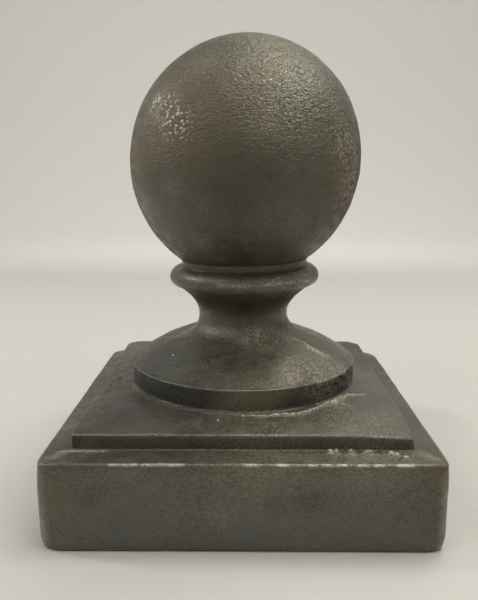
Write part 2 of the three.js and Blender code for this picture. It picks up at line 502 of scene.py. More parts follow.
def shiftCasting(piece, c, d):
    places = readPlaces(piece)
    x, y, z = places.T.copy()
    ballFoot = c["collarTop"]
    places[:, 0] += d["ballLean"] * np.clip(z - ballFoot, 0, None)
    up = smoothStep(d["collarFrom"], c["torusFoot"], z)
    down = smoothStep(c["collarTop"], d["collarTo"], z)
    places[:, 2] += d["collarTilt"] * x * up * (1 - down)
    places[:, 0] += d["collarShift"] * up * (1 - down)
    front = smoothStep(*d["sagFront"], y)
    onPlate = smoothStep(c["plateFoot"], c["plateTop"], z) * (z < c["discFoot"])
    places[:, 2] -= d["sagDepth"] * smoothStep(d["sagFrom"], c["plateHalf"], x) * front * onPlate
    nearEdge = smoothStep(c["discRadius"], c["plateHalf"], np.maximum(np.abs(x), np.abs(y)))
    places[:, 2] += d["backLift"] * smoothStep(*d["liftRun"], y) * onPlate * nearEdge
    nearRim = (1 - smoothStep(0, d["rimBand"], z)) * smoothStep(*d["rimFront"], y)
    places[:, 2] += d["rimLift"] * nearRim * (1 - (x / c["baseHalf"]) ** 2)
    writePlaces(piece, places)


shiftCasting(cap, casting, drift)


# Foundry marks, and a painted highlight line on the torus. Lines and spots are points on the surface, in
# millimetres. Scar is how bare the metal is; on the torus line and the parting ridge's crest it is also a
# painted highlight.

ridges = {
    # line, then width and height, how ragged it is, and its scar
    "partingRidge": ([(17.2, -11.6, 50.6), (18.2, -12.6, 50), (19.7, -13.4, 49.2), (21.4, -14.5, 48.2),
                      (23.2, -15.6, 47.2), (26.1, -16.3, 45.8), (29, -16.1, 44.6)],
                     0.9, 0.9, 0.3, 0.65),
    "discFlash": ([(0, -40.1, 34.4), (6, -40.2, 34.4), (12.7, -39.2, 34.4), (16.1, -38.4, 34.3),
                   (19.9, -37.2, 34.2), (23.3, -33.7, 34.4), (26.4, -30.8, 34.5), (28.8, -28.8, 34.4),
                   (30.9, -26.3, 34.4), (33.8, -23.7, 34.3), (37, -21.5, 34), (40, -20, 33.6)],
                  0.58, 0.85, 0.4, 0.85),
    "flashBranch": ([(28.4, -29, 34.4), (30, -29.4, 34.3), (31.6, -29.8, 34.2), (33.4, -30.8, 34.1)],
                    0.45, 0.35, 0.6, 0.8),
    # a painted highlight line along the torus's lower lip, raised a little, whose scar paints the highlight
    "lipHighlight": ([(-8, -24.5, 70.9), (0, -25.8, 70.9), (9, -24.2, 71.1), (15, -21, 71.2),
                 (20, -16.3, 71), (22.5, -12.6, 70.8)],
                0.6, 0.14, 0.6, 0.55),
    "footLine": ([(-38.5, -10.8, 34.4), (-34.6, -20, 34.4), (-28.3, -28.3, 34.4), (-20, -34.6, 34.4),
                  (-10.4, -38.6, 34.4), (2, -40.1, 34.3)],
                 0.4, 0.2, 0.5, 0.3),
    "footScar": ([(-53, -50.5, 27.2), (-49, -50.4, 27.3), (-44, -50.4, 27.3), (-39, -50.3, 27.3)],
                 0.6, 0.3, 0.6, 0.7),
    "sweptRidge": ([(-30.5, -48, 32.1), (-28.2, -47.4, 32.2), (-22.7, -44.8, 32.6), (-17, -42.6, 33.2),
                    (-10.3, -40.6, 33.9)],
                   2.4, 0.4, 0.1, 0),
}

spots = [
    # x, y and z, then radius, then height, which is negative for a dent or a chip
    (25.5, 0, 66, 7, -0.6), (25, -50.4, 27.4, 1.3, 0.9), (26.8, -50.6, 27.4, 1.3, 1.2),
    (31, -50.5, 27.4, 1.35, 1.2), (35.2, -50.5, 27.4, 1.4, 0.8), (36.6, -50.9, 27.4, 1.25, 1.2),
    (42.2, -50.9, 27.3, 1.4, 0.7), (43.8, -51.6, 27.3, 1.4, 0.6), (46, -53, 27.2, 1.5, 0.4),
    (29.6, -25.1, 38.4, 1.5, -0.8), (31.4, -22.9, 40.2, 1.4, -0.9), (33, -20.7, 38.6, 1.8, -1),
    (34.6, -17.7, 40.6, 1.5, -0.9), (36.1, -14.4, 39.4, 1.6, -0.5), (34.9, -17.3, 36.4, 1.5, 0.5),
    (-21.3, -57.65, 0.7, 1.4, -0.5), (-56.6, -57.2, 0, 4, -1.2), (57, -57.2, 0, 4.2, -1),
    (-57.2, 57.2, 0.3, 5, -0.9), (57.2, 57.2, 0.3, 5, -1), (-57.2, -57.2, 26.4, 3.5, -0.5),
    (57.2, -57.2, 26.4, 3.5, -0.5), (57.4, 57.4, 25.8, 7.5, -1.7), (-57.4, 57.4, 26, 4.5, -0.8),
    (49.2, 49.2, 33, 4, -0.9), (-49.2, 49.2, 33, 4.5, -0.7), (49.2, -49.2, 31.4, 3, -0.5),
    (-20.5, 3, 50.6, 9, -1), (-38, -7.5, 41.4, 4, -0.7), (21, 4, 50.6, 6, -0.3),
    (23, -9.5, 49.6, 4.5, -0.4), (27, -11, 47.2, 4.5, -0.4),
]


markShape = {
    "ridgeReach": 3,  # how many widths a ridge reaches to either side of its line
    "ridgeEnds": (0.25, 0.88),  # it rises up to the first and falls from the second, as shares of its length
    "raggedSize": 1.3 * mm,
    "bareReach": (0.25, 1.2),
    "spotFall": 2.5,
    "spotReach": 2,
    "bareFrom": 0.35,  # the least height of a lump that is rubbed bare
    "bareTop": 0.75,
    "bareTopReach": (0.2, 0.7),
}


def distanceToLine(places, line):
    points = np.array(line) * mm
    nearest = np.full(len(places), np.inf)
    along = np.zeros(len(places))
    lengths = np.linalg.norm(np.diff(points, axis=0), axis=1)
    for i, (a, b) in enumerate(zip(points, points[1:])):
        t = np.clip((places - a) @ (b - a) / ((b - a) @ (b - a)), 0, 1)
        away = np.linalg.norm(places - (a + t[:, None] * (b - a)), axis=1)
        closer = away < nearest
        nearest[closer] = away[closer]
        along[closer] = (lengths[:i].sum() + t[closer] * lengths[i]) / lengths.sum()
    return nearest, along


def roughness(places, size):
    return np.array([noise.noise(Vector(place) / size) for place in places])


def raiseRidges(piece, marks, shape):
    places, normals = readPlaces(piece), readNormals(piece)
    brightened = np.zeros(len(places))
    for line, width, height, ragged, scarAndHighlight in marks.values():
        away, along = distanceToLine(places, line)
        width *= mm
        near = away < shape["ridgeReach"] * width
        rise, fall = shape["ridgeEnds"]
        ends = smoothStep(0, rise, along) * (1 - smoothStep(fall, 1, along))
        lift = height * mm * np.exp(-(away / width) ** 2) * ends
        lift[near] *= 1 + 2 * ragged * roughness(places[near], shape["raggedSize"])
        lift[~near] = 0
        places += normals * lift[:, None]
        # how bright each line is painted: bare metal on the fins and seams, a painted highlight on the torus
        # line and partly on the parting ridge's crest
        inner, outer = (share * width for share in shape["bareReach"])
        brightened = np.maximum(brightened, scarAndHighlight * (1 - smoothStep(inner, outer, away)))
    writePlaces(piece, places)
    return brightened


def raiseSpots(piece, marks, shape):
    places, normals = readPlaces(piece), readNormals(piece)
    brightened = np.zeros(len(places))
    inner, outer = shape["bareTopReach"]
    for x, y, z, radius, height in marks:
        away = np.linalg.norm(places - np.array((x, y, z)) * mm, axis=1)
        lift = height * mm * np.exp(-shape["spotFall"] * (away / (radius * mm)) ** 2)
        lift[away > shape["spotReach"] * radius * mm] = 0
        places += normals * lift[:, None]
        if height > shape["bareFrom"]:
            top = 1 - smoothStep(inner * mm, outer * radius * mm, away)
            brightened = np.maximum(brightened, shape["bareTop"] * top)
    writePlaces(piece, places)
    return brightened


ridgeBareAndHighlight = raiseRidges(cap, ridges, markShape)
bareMetalAndHighlight = np.maximum(ridgeBareAndHighlight, raiseSpots(cap, spots, markShape))
print("foundry marks raised")


# The sand's unevenness, as displacement that is applied

sandSkin = {
    "waves": {"size": 16 * mm, "strength": 0.5 * mm, "group": "skin"},
    "lumps": {"size": 4.5 * mm, "strength": 0.22 * mm, "group": "skin"},
    "crust": {"size": 1.7 * mm, "strength": 2.4 * mm, "group": "crust"},
}

skinHold = {
    "rim": (0.3 * mm, 3 * mm),  # the skin comes in over this height above the rim
    "crown": (1.6 * mm, 0.05 * mm),  # and fades out over this depth below the ball's top
    "hollowShare": 0.3,
    "levels": 20,
    "crustCore": 0.6 * mm,
}

crusts = [
    # line on the surface, how far it reaches to either side and its share
    ([(-52.6, -34.5, 27.3), (-48.8, -30.3, 31.9), (-47.1, -20.4, 32.3), (-45.6, -11.7, 32.7),
      (-44.8, 0.5, 33)], 3.4, 0.6),
    ([(28, -27, 37.6), (31.4, -22.9, 38), (34.6, -17.7, 38.4), (37.4, -10.5, 38.6)], 4.4, 0.42),
]


def crustWeights(places):
    weights = np.zeros(len(places))
    for line, reach, share in crusts:
        away, along = distanceToLine(places, line)
        near = 1 - smoothStep(skinHold["crustCore"], reach * mm, away)
        weights = np.maximum(weights, share * near)
    return weights


def addGroup(piece, name, weights):
    group = piece.vertex_groups.new(name=name)
    levels = skinHold["levels"]
    rounded = np.round(np.clip(weights, 0, 1) * levels).astype(int)
    for level in range(1, levels + 1):
        chosen = np.flatnonzero(rounded == level).tolist()
        if chosen:
            group.add(chosen, level / levels, "REPLACE")


def displaceSkin(piece, name, size, strength, group):
    texture = bpy.data.textures.new(name, "CLOUDS")
    texture.noise_scale = size
    texture.noise_depth = 3
    modifier = piece.modifiers.new(name, "DISPLACE")
    modifier.texture = texture
    modifier.texture_coords = "LOCAL"
    modifier.strength = strength
    modifier.mid_level = 0.5
    modifier.vertex_group = group
    bpy.context.view_layer.objects.active = piece
    bpy.ops.object.modifier_apply(modifier=name)


def keepInside(piece, low, high):
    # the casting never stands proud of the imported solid, and its rim stays flat
    places = np.clip(readPlaces(piece), np.array(low), np.array(high))
    writePlaces(piece, places)


places = readPlaces(cap)
aboveRim = smoothStep(*skinHold["rim"], places[:, 2])
crownFrom, crownTo = (casting["ballTop"] - depth for depth in skinHold["crown"])
belowCrown = 1 - smoothStep(crownFrom, crownTo, places[:, 2])
outside = 1 - (1 - skinHold["hollowShare"]) * readLayer(cap, "hollow")
addGroup(cap, "skin", aboveRim * belowCrown * outside)
addGroup(cap, "crust", crustWeights(places))
for name, values in sandSkin.items():
    displaceSkin(cap, name, **values)
keepInside(cap, capLow, capHigh)
bpy.ops.object.shade_smooth()
print("sand skin displaced")


# Tints, wear, painted shade and painted highlights kept on the mesh, for the materials to read

tints = {
    # x, y and z, then radius, all in millimetres, then strength
    "brown": [
        (-38, -5, 103, 20, 0.9), (-36.4, -11, 110, 8, 1), (-36.4, -11, 103, 9, 1),
        (-35.6, -11, 96, 9, 1), (-33.6, -11, 89, 10, 1), (-28, -12, 82, 14, 0.9),
        (34.5, -14, 101, 28, 1), (2, -36, 99, 16, 0.35), (-52, -57.6, 17, 9, 0.4),
        (56.5, -57, 24, 8, 0.7), (-6, -38.3, 38.8, 8, 0.25), (2, -38.8, 38.8, 9, 0.35),
        (9.5, -37.6, 38.8, 7, 0.25), (4, -17.5, 54, 12, 0.3), (-16, -25, 122, 44, 0.45),
    ],
    "olive": [
        (0, 0, 112, 110, 0.62), (3, -38.8, 38.8, 15, 0.7), (20, -26, 43, 20, 0.6),
    ],
    # partly painted highlight: the cone's bright right side, the neck's foot, the torus's right end, the
    # ball's top and upper front and the front margin; it also lightens the lumps before the plate, pale
    # blotches on the ball's lower half, dried slurry on the plate's left and dust on the base
    "pale": [
        (0, -18.8, 51.2, 12, 0.6), (15.5, -13.5, 50.8, 6, 1), (19.5, -16, 48.4, 9, 1),
        (25.5, -19, 45.4, 11, 1), (16, -24, 46, 9, 0.9), (32, -19, 42.2, 9, 0.9),
        (-33, -18, 108, 12, 0.4), (-32.5, -17.5, 97, 12, 0.4), (-27, -23, 124, 15, 0.5),
        (9, -27, 132, 20, 0.5), (15, -29.5, 43.2, 10, 1), (23, -27, 43, 13, 1),
        (-11, -33.2, 93.3, 9, 0.5), (-12.5, -27.2, 85, 6, 0.9), (-20.5, -31.2, 100.3, 7, 0.7),
        (14.6, -30.6, 91, 9, 0.45), (7.9, -34.1, 93.4, 11, 0.5), (-11, -24, 138, 13, 0.8),
        (-48.5, -28, 32, 7, 0.7), (-47, -20, 32.3, 8, 0.65), (-46, -11, 32.6, 8, 0.5),
        (-45, 1, 33, 10, 0.25), (30, -30, 34.2, 7, 0.8), (-4.8, -57.7, 10.1, 10, 0.6),
        (22, -25, 45, 19, 1), (30, -20, 42.5, 12, 0.7), (4, -53, 27.2, 26, 0.55),
        (36, -53, 27.2, 22, 0.55), (0, -14, 146, 22, 0.5), (7, -19.5, 50.2, 8, 0.7),
        (5.5, -36.5, 119.5, 9, 0.4), (0, -46, 32.4, 20, 0.3), (20, -16, 70.5, 10, 0.6),
        (4, -28, 138, 24, 0.4), (25, -50.8, 27.8, 2.4, 1), (26.8, -50.8, 27.8, 2.4, 1),
        (31, -50.8, 27.8, 2.4, 1), (36, -50.9, 27.8, 2.6, 1), (43, -51.3, 27.5, 2.6, 0.8),
        (-45.5, -50.4, 27.3, 6, 0.9), (4, -18.4, 51.6, 10, 0.9),
    ],
    "leather": [
        (14, -22, 126, 64, 1), (-19, -28, 118, 26, 0.9), (34, -14, 106, 36, 0.9), (0, 30, 118, 56, 0.8),
        (-12, -30, 98, 40, 0.5), (20, -28, 92, 26, 0.5), (21, -25.5, 44.8, 18, 0.7),
        (29, -20, 43, 12, 0.7), (4.5, -18.5, 51.4, 9, 0.7), (17, -18, 70, 12, 0.6),
    ],
    "sand": [
        (14, -17, 51, 13, 0.9), (24, -27, 43, 15, 1), (34, -20, 38.5, 9, 1), (18, -18, 71, 14, 0.9),
        (36, -40, 32, 30, 0.7), (-48, -18, 32, 18, 0.9), (10, -28, 118, 44, 0.6),
    ],
    "cool": [
        (-20, -30, 98, 16, 0.8), (-11, -34, 91, 12, 0.9), (10, -35, 93.5, 12, 0.5),
        (-24, -22, 44, 24, 0.7), (-34, -40, 32.5, 28, 0.6), (-34, -57.6, 3, 24, 0.9),
        (0, -57.6, 1, 24, 1), (34, -57.6, 3, 24, 0.9), (-7, -20, 141, 16, 0.6), (0, 57, 10, 40, 0.6),
        (57, 10, 12, 36, 0.5), (-57, -5, 10, 36, 0.5), (-6, 34, 108, 30, 0.6),
    ],
    # painted glints: bright specks in the colour where sparkling highlights fall, on the ball's upper left
    # and right, the cone, the neck's foot and the torus
    "glint": [
        (-26.2, -22.5, 126.5, 5, 1), (-22.6, -27.5, 124, 7, 1), (-19.6, -30.6, 120, 8, 1),
        (30.5, -22, 113, 13, 0.5), (33.5, -17.5, 103, 12, 0.45), (22, -28, 42.8, 11, 0.4),
        (18, -26, 134, 12, 0.35), (3, -18.4, 51.8, 6, 0.3), (20, -16, 70.5, 6, 0.3),
    ],
    # painted sparkle: fine bright specks in the colour on the cone, the neck's foot, the torus, the ball's
    # upper right, the flash and the plate
    "gritAndSparkle": [
        (21, -25.5, 44.8, 16, 0.4), (29, -22, 42.6, 10, 0.4), (3.5, -18.5, 51.4, 7, 1),
        (12, -16, 51, 8, 0.6), (19, -17, 71.5, 8, 0.7), (11, -23, 70, 9, 0.6),
        (13.4, -29.9, 129.9, 26, 0.6), (33, -19, 108, 16, 0.35), (26, -31, 34.3, 9, 0.6),
        (34, -18, 38.5, 8, 0.3), (38, -40, 32.2, 20, 0.35), (-48, -22, 32.2, 10, 0.4),
    ],
    # painted shade under the ball, over its lower half and right limb, in the throat, in a band right of the
    # parting ridge, between the lumps and on the base's right end; the rest are stains and darker places on
    # the disc's side, the plate and the base
    "shadeAndStain": [
        (0, -26, 79, 9, 0.8), (0, -17, 63, 14, 0.95), (0, -35.5, 43.6, 12, 0.25),
        (-16, -35, 37.5, 12, 0.8), (21, -32.5, 37, 10, 1), (-30, -24.5, 37, 13, 1),
        (-38, -8, 37.5, 9, 0.8), (-50, -47, 30, 18, 0.25), (55, -50, 26.6, 14, 0.3),
        (56, -57.6, 12, 18, 0.35), (31, -13, 88, 18, 0.7), (28.9, -50.2, 27.5, 1.6, 1),
        (33.3, -50.2, 27.5, 1.6, 1), (39.2, -50.3, 27.5, 2, 1), (0, -36, 97, 28, 0.5),
        (26, -24, 92, 24, 0.4), (38, -6, 101, 26, 1), (37.5, -10, 113, 15, 0.7), (36.5, -11, 93, 17, 1),
        (32, -11, 86, 15, 0.9), (-42, -28, 32.6, 13, 0.52), (-39, -38, 32.4, 18, 0.48),
        (-41, -13, 33, 9, 0.42), (-44, 4, 33, 38, 0.38), (-30, -12, 44, 18, 0.28),
        (44, 34, 33, 40, 0.42), (-48.5, -49.4, 29.6, 9, 0.85), (57.2, -57.2, 13, 12, 0.4),
        (36.5, -15, 40.5, 4, 0.8), (20.6, -10.2, 49.9, 3, 0.5), (23.2, -11.6, 48.7, 3.4, 0.5),
        (26.4, -12.8, 46.9, 3.4, 0.4), (34, -19.5, 36, 4, 0.7), (10, -57.6, 15.6, 7, 0.35),
        (18, -57.6, 15.2, 8, 0.35), (-43, -57.6, 17, 6, 0.4),
    ],
}


# rubbed stretches of the base's front edge, as x in millimetres
rubbedFront = [(-36.7, -34.6), (-33.4, -31.8), (-30.4, -29.4), (-27.8, -24.6), (-23.2, -22.4),
               (-21.0, -16.4), (1.2, 4.1), (9.7, 12.4), (18.7, 20.7), (22.0, 24.8), (26.2, 28.6),
               (32.2, 34.6), (36.5, 38.7), (42.7, 46.9)]

wearZones = {
    "shortestDash": 1.6,
    "dashFade": 0.8 * mm,
    "betweenDashes": 0.16,
    "otherEdges": 0.6,
    "dashScar": 0.6,
    "dashBare": (0.7, 1),
    "frontEdge": (-55 * mm, 25 * mm),  # the base's front edge lies before the first and above the second
    "slurry": 0.35,
    "slurryFade": 0.9 * mm,
    "slurryFront": (-46 * mm, -38 * mm),
    "slurryBack": (10 * mm, 40 * mm),
    "slurryFoot": 26 * mm,
    "cleanMiddle": 3 * mm,
    "cleanLean": 0.8,
    "cleanWidth": 11 * mm,
    "cleanLevel": 38 * mm,
    "cleanShare": 0.8,
}


def patches(places, marks):
    weights = np.zeros(len(places))
    for x, y, z, radius, strength in marks:
        away = np.linalg.norm(places - np.array((x, y, z)) * mm, axis=1)
        weights = np.maximum(weights, strength * (1 - smoothStep(0, radius * mm, away)))
    return weights


def slurryWeights(places, zones):
    # the dried slurry that lies outside the crust on the plate and the shoulder below it
    x, y, z = places.T
    line = np.array(crusts[0][0]) * mm
    fromLine = x - np.interp(y, line[:, 1], line[:, 0])
    outside = 1 - smoothStep(-zones["slurryFade"], zones["slurryFade"], fromLine)
    ends = smoothStep(*zones["slurryFront"], y) * (1 - smoothStep(*zones["slurryBack"], y))
    return zones["slurry"] * outside * ends * (z > zones["slurryFoot"]) * (z < casting["discFoot"])


def cleanWeights(places, zones):
    # a slanting stretch of the disc's side that is darkened less
    x, y, z = places.T
    fromMiddle = x - zones["cleanMiddle"] - zones["cleanLean"] * (z - zones["cleanLevel"])
    onSide = (y < 0) & (z < casting["discTop"]) & (z > casting["discFoot"])
    return zones["cleanShare"] * np.exp(-(fromMiddle / zones["cleanWidth"]) ** 4) * onSide


def frontDashes(places, dashes, zones):
    # the base's front edge is nearly whole between its rubbed stretches
    x, y, z = places.T
    bright = np.full(len(places), zones["betweenDashes"])
    for start, end in dashes:
        halfLength = max(end - start, zones["shortestDash"]) / 2 * mm
        fromMiddle = np.abs(x - (start + end) / 2 * mm)
        bright = np.maximum(bright, 1 - smoothStep(halfLength, halfLength + zones["dashFade"], fromMiddle))
    front, low = zones["frontEdge"]
    return np.where((y < front) & (z < casting["plateFoot"]) & (z > low), bright, zones["otherEdges"])


places = readPlaces(cap)
crest = readLayer(cap, "crest")
frontWear = frontDashes(places, rubbedFront, wearZones)
paint(cap, "wornEdge", crest * frontWear)
bareDashes = wearZones["dashScar"] * crest * smoothStep(*wearZones["dashBare"], frontWear)
paint(cap, "scarAndHighlight", np.maximum(bareMetalAndHighlight, bareDashes))
# ring-painted shade, less on the disc's slanting stretch, joins the shade and stain tint; ring dust and
# slurry join the pale tint
ringShare = {
    "shadeAndStain": readLayer(cap, "shadeAndGrime") * (1 - cleanWeights(places, wearZones)),
    "pale": np.maximum(readLayer(cap, "dustAndGlint"), slurryWeights(places, wearZones)),
}
for name, marks in tints.items():
    paint(cap, name, np.maximum(patches(places, marks), ringShare.get(name, 0)))
print("tints painted")


# Shader effects, each built once as a node group

def addNode(tree, kind, inputs=None, **settings):
    node = tree.nodes.new(kind)
    for key, value in settings.items():
        setattr(node, key, value)
    for key, value in (inputs or {}).items():
        if isinstance(value, bpy.types.NodeSocket):
            tree.links.new(value, node.inputs[key])
        else:
            node.inputs[key].default_value = value
    return node


def maths(tree, operation, a, b):
    return addNode(tree, "ShaderNodeMath", {0: a, 1: b}, operation=operation).outputs[0]


def times(tree, a, b):
    return maths(tree, "MULTIPLY", a, b)


def plus(tree, a, b):
    return maths(tree, "ADD", a, b)


def remap(tree, value, low, high, toLow=0.0, toHigh=1.0):
    node = addNode(tree, "ShaderNodeMapRange", {"Value": value, "From Min": low, "From Max": high,
                                                "To Min": toLow, "To Max": toHigh},
                   interpolation_type="SMOOTHSTEP")
    return node.outputs["Result"]


def mixColour(tree, amount, a, b):
    return addNode(tree, "ShaderNodeMix", {0: amount, 6: a, 7: b}, data_type="RGBA").outputs[2]


def clouds(tree, place, scale, detail, roughness=0.5, distortion=0.0):
    node = addNode(tree, "ShaderNodeTexNoise", {"Vector": place, "Scale": scale, "Detail": detail,
                                                "Roughness": roughness, "Distortion": distortion})
    return node.outputs["Fac"]


def levelled(tree, place, scale):
    return addNode(tree, "ShaderNodeMapping", {"Vector": place, "Scale": scale}).outputs["Vector"]


def newGroup(name, numbers, results):
    tree = bpy.data.node_groups.new(name, "ShaderNodeTree")
    tree.interface.new_socket("Vector", in_out="INPUT", socket_type="NodeSocketVector")
    for label, value in numbers.items():
        socket = tree.interface.new_socket(label, in_out="INPUT", socket_type="NodeSocketFloat")
        socket.default_value = value
    for label in results:
        tree.interface.new_socket(label, in_out="OUTPUT", socket_type="NodeSocketFloat")
    return tree, tree.nodes.new("NodeGroupInput").outputs, tree.nodes.new("NodeGroupOutput").inputs


grainShape = {
    "stretch": (0.75, 0.75, 1.35),
    "swirl": 0.9,
    "sandFiner": 1.9,
    "pitsFiner": 1.3,
    "pitEdge": (0.42, 0.1),
    "sandShare": 0.6,
    "pitShare": 0.12,
}

patinaShape = {
    # how much finer than the clouds, then detail and distortion
    "layers": {"Cloud": (1.0, 4.0, 0.4), "Mottle": (5.0, 3.0, 0.3), "Fine": (27.0, 2.0, 0.0)},
    "stretch": (0.7, 0.7, 1.4),
    "contrast": (0.3, 0.7),
    "glintsFiner": 20.0,
    "glintsKept": (0.5, 0.7),
    "raggedFiner": 40.0,
    "glintEdge": (1.15, 0.85),
    "sparkleFiner": 30.0,
    "sparkleEdge": (0.52, 0.68),
}

dashShape = {
    "fineScale": 330.0,
    "patchScale": 45.0,
    "fineShare": 0.6,
    "patchShare": 0.7,
    "amountShare": 0.5,
    "threshold": 0.62,
    "edge": (0.1, 0.5),
}


def castGrainGroup(g):
    # leathery swellings that run level, and the sand's finer grain with small pits
    tree, given, result = newGroup("castGrain", {"Grains": 700.0, "Leather": 0.5, "Sand": 0.5},
                                   ["Height", "Pits"])
    level = levelled(tree, given["Vector"], g["stretch"])
    waves = clouds(tree, level, given["Grains"], 2.0, distortion=g["swirl"])
    sand = clouds(tree, given["Vector"], times(tree, given["Grains"], g["sandFiner"]), 2.0, 0.6, 0.3)
    cells = addNode(tree, "ShaderNodeTexVoronoi",
                    {"Vector": given["Vector"], "Scale": times(tree, given["Grains"], g["pitsFiner"]),
                     "Smoothness": 0.35}, feature="SMOOTH_F1")
    pits = remap(tree, cells.outputs["Distance"], *g["pitEdge"])
    gritAndSparkle = maths(tree, "SUBTRACT", times(tree, sand, g["sandShare"]), times(tree, pits, g["pitShare"]))
    height = plus(tree, times(tree, waves, given["Leather"]), times(tree, gritAndSparkle, given["Sand"]))
    tree.links.new(height, result["Height"])
    tree.links.new(pits, result["Pits"])
    return tree


def patinaGroup(p):
    # cloudy mottling at three sizes, and bright specks for painted glints and painted sparkle
    tree, given, result = newGroup("patina", {"Clouds": 60.0},
                                   ["Cloud", "Mottle", "Fine", "Glint", "Sparkle"])
    level = levelled(tree, given["Vector"], p["stretch"])
    for label, (finer, detail, distortion) in p["layers"].items():
        spread = clouds(tree, level, times(tree, given["Clouds"], finer), detail, 0.6, distortion)
        tree.links.new(remap(tree, spread, *p["contrast"]), result[label])
    cells = addNode(tree, "ShaderNodeTexVoronoi",
                    {"Vector": given["Vector"], "Scale": times(tree, given["Clouds"], p["glintsFiner"])})
    chance = addNode(tree, "ShaderNodeSeparateColor", {"Color": cells.outputs["Color"]}).outputs[0]
    ragged = clouds(tree, given["Vector"], times(tree, given["Clouds"], p["raggedFiner"]), 1.0)
    dot = remap(tree, plus(tree, cells.outputs["Distance"], ragged), *p["glintEdge"])
    tree.links.new(times(tree, remap(tree, chance, *p["glintsKept"]), dot), result["Glint"])
    specks = clouds(tree, given["Vector"], times(tree, given["Clouds"], p["sparkleFiner"]), 1.0)
    tree.links.new(remap(tree, specks, *p["sparkleEdge"]), result["Sparkle"])
    return tree


def edgeWearGroup(d):
    # breaks a painted edge weight into rubbed dashes
    tree, given, result = newGroup("edgeWear", {"Edge": 0.0, "Amount": 0.6}, ["Wear"])
    broken = clouds(tree, given["Vector"], d["fineScale"], 3.0, 0.7)
    patchy = clouds(tree, given["Vector"], d["patchScale"], 2.0)
    strength = plus(tree, times(tree, broken, d["fineShare"]), times(tree, patchy, d["patchShare"]))
    strength = maths(tree, "SUBTRACT", strength, d["threshold"])
    strength = plus(tree, strength, times(tree, given["Amount"], d["amountShare"]))
    worn = times(tree, given["Edge"], remap(tree, strength, *d["edge"]))
    tree.links.new(worn, result["Wear"])
    return tree


castGrain, patina, edgeWear = castGrainGroup(grainShape), patinaGroup(patinaShape), edgeWearGroup(dashShape)


# Finishes of the casting

# how much of each mottling breaks the iron's two greys, and how one mottling breaks each tint and
# the scars: its range, then the tint's share at either end of that range
mottleShares = {"Cloud": 0.27, "Mottle": 0.28, "Fine": 0.45}

tintBreaks = {
    "olive": ("Cloud", 0.0, 1.0, 0.5, 1.0),
    "brown": ("Mottle", 0.0, 0.8, 0.5, 1.0),
    "pale": ("Fine", 0.0, 1.0, 0.25, 1.0),
    "cool": ("Mottle", 0.1, 0.9, 0.3, 1.0),
    "shadeAndStain": ("Fine", 0.0, 1.0, 1.0, 0.68),
}

scarBreak = (0.1, 0.8, 0.3, 0.95)

ironOutside = {
    "iron": (0.043, 0.042, 0.030, 1),
    "greyIron": (0.138, 0.136, 0.101, 1),
    # the colour of painted shade, of stains and of the pits
    "shadeAndStain": (0.020, 0.018, 0.013, 1),
    "brown": (0.128, 0.077, 0.032, 1),
    "olive": (0.102, 0.088, 0.049, 1),
    # the colour of painted highlights, and of pale blotches, slurry and dust
    "pale": (0.235, 0.215, 0.155, 1),
    "cool": (0.089, 0.093, 0.087, 1),
    "rubbed": (0.42, 0.40, 0.32, 1),
    # the colour of bare metal, and of the painted highlight on the torus line
    "scarAndHighlight": (0.56, 0.54, 0.44, 1),
    # the colour of painted glints and painted sparkle, and of real dust specks
    "dustAndGlint": (0.72, 0.70, 0.62, 1),
    "metallic": 0.35,
    "specular": 0.7,
    "roughLow": 0.28,
    "roughHigh": 0.46,
    "tintRough": 0.25,  # dark and brown places are rougher by this, rubbed ones smoother by the next
    "rubbedSmooth": 0.12,
    "grains": 850.0,
    "pitGrime": 0.15,
    "sparkleShare": 0.6,
    "sandLow": 0.45,
    "sandHigh": 1.3,
    "bumpDepth": 0.7 * mm,
    "wear": 0.6,
}

ironInside = dict(ironOutside, iron=(0.036, 0.030, 0.023, 1), greyIron=(0.060, 0.050, 0.040, 1),
                  brown=(0.085, 0.045, 0.025, 1), roughLow=0.6, roughHigh=0.85, metallic=0.15,
                  sandLow=1.0, wear=0.2)


def attribute(tree, name):
    return addNode(tree, "ShaderNodeAttribute", attribute_name=name).outputs["Fac"]


def useGroup(tree, group, inputs):
    return addNode(tree, "ShaderNodeGroup", inputs, node_tree=group).outputs


dustSpecks = {
    "places": [(-7.3, -42.3, 33.6), (-23.1, -44.2, 32.7), (-22.9, -19.1, 46.7)],  # in millimetres
    "edge": (0.5 * mm, 0.2 * mm),
}


def dustDots(tree, place, specks):
    dots = None
    for dot in specks["places"]:
        away = addNode(tree, "ShaderNodeVectorMath", {0: place, 1: tuple(v * mm for v in dot)},
                       operation="DISTANCE").outputs["Value"]
        near = remap(tree, away, *specks["edge"])
        dots = near if dots is None else maths(tree, "MAXIMUM", dots, near)
    return dots


